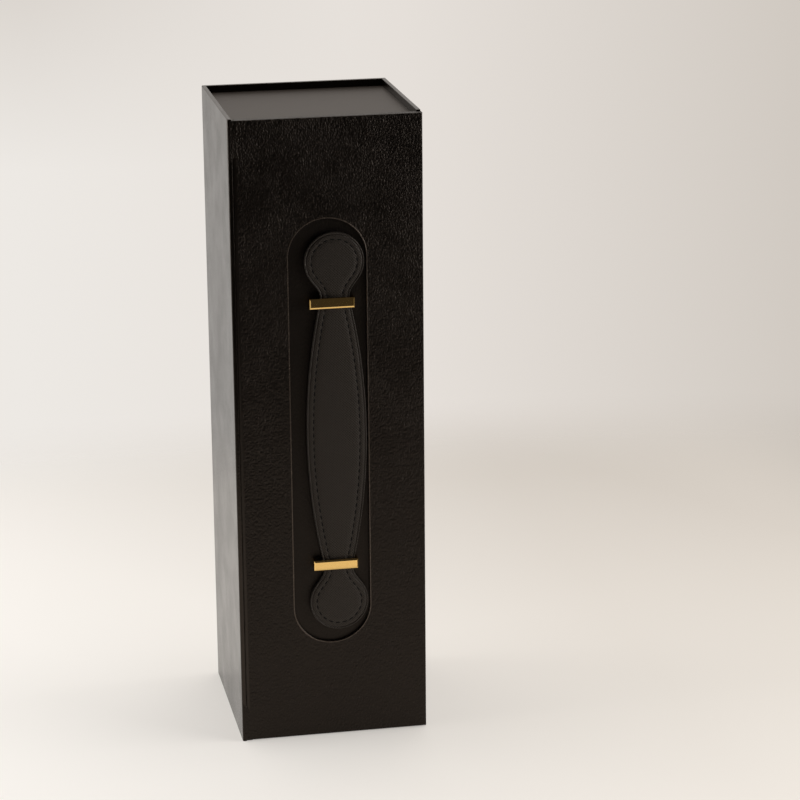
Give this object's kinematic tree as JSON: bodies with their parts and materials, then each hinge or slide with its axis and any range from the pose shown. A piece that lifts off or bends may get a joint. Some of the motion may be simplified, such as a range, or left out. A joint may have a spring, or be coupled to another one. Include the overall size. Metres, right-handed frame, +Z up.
{
  "type": "wine gift box",
  "caption": "Tall wrapped-board gift box for one bottle, with a book-hinged front cover and a padded carrying strap that slides in metal keepers.",
  "frame": {"origin": "centre of the bounding box's underside, on the floor that the closed box stands on", "axes": "+X to the right and +Y to the back as seen from in front of the cover, +Z up"},
  "size_m": [0.104, 0.109, 0.35],
  "materials": {
    "grained_leatherette": "satin",
    "strap_leatherette": "satin",
    "inlay_leatherette": "matte",
    "greyboard": "matte",
    "end_paper": "satin",
    "flocked_lining": "matte",
    "foam": "matte",
    "velvet": "matte",
    "plated_steel": "satin",
    "gilt_metal": "polished"
  },
  "bodies": {
    "case": {"case_wrap": "grained_leatherette", "left_board": "greyboard", "back_board": "greyboard", "right_board": "greyboard", "tray_left_board": "greyboard", "tray_right_board": "greyboard", "tray_back_board": "greyboard", "tray_bottom_board": "greyboard", "tray_top_board": "greyboard", "bottom_end_paper": "end_paper", "top_end_paper": "end_paper", "tray_edge_binding": "grained_leatherette", "tray_lining": "flocked_lining", "strike_strips": "plated_steel", "hinge_web": "grained_leatherette", "body_cradle": "foam", "body_cradle_velvet": "velvet", "neck_cradle": "foam", "neck_cradle_velvet": "velvet"},
    "cover": {"cover_front_board": "greyboard", "cover_rear_board": "greyboard", "cover_wrap": "grained_leatherette", "cover_liner": "flocked_lining", "recess_inlay": "inlay_leatherette", "cover_magnets": "plated_steel", "upper_keeper": "gilt_metal", "upper_keeper_plate": "plated_steel", "lower_keeper": "gilt_metal", "lower_keeper_plate": "plated_steel"},
    "strap_upper_end": {"strap_face_upper_end": "strap_leatherette", "strap_backing_upper_end": "strap_leatherette"},
    "strap_upper_half": {"strap_face_upper_half": "strap_leatherette", "strap_backing_upper_half": "strap_leatherette"},
    "strap_lower_half": {"strap_face_lower_half": "strap_leatherette", "strap_backing_lower_half": "strap_leatherette"},
    "strap_lower_end": {"strap_face_lower_end": "strap_leatherette", "strap_backing_lower_end": "strap_leatherette"}
  },
  "joints": [
    {"name": "cover_hinge", "type": "hinge", "parent": "case", "child": "cover", "pos_m": [-0.0491, -0.05105, 0.175], "axis": [0, 0, -1], "range_deg": [0, 180]},
    {"name": "strap_slide", "type": "slide", "parent": "cover", "child": "strap_upper_end", "axis": [0, 0, -1], "range_m": [0, 0.00433]},
    {"name": "strap_lift", "type": "hinge", "parent": "strap_upper_end", "child": "strap_upper_half", "pos_m": [0.0034, -0.05275, 0.2461], "axis": [-1, 0, 0], "range_deg": [0, 23]},
    {"name": "strap_middle_bend", "type": "hinge", "parent": "strap_upper_half", "child": "strap_lower_half", "pos_m": [0.0034, -0.04935, 0.175], "axis": [-1, 0, 0], "range_deg": [-46.1, 0]},
    {"name": "strap_lower_bend", "type": "hinge", "parent": "strap_lower_half", "child": "strap_lower_end", "pos_m": [0.0034, -0.05275, 0.1039], "axis": [-1, 0, 0], "range_deg": [0, 23.05]}
  ],
  "couplings": [
    {"joint": "strap_slide", "follows": "strap_lift", "m_per_rad": 0.010775},
    {"joint": "strap_middle_bend", "follows": "strap_lift", "ratio": -2},
    {"joint": "strap_lower_bend", "follows": "strap_lift", "ratio": 1}
  ]
}
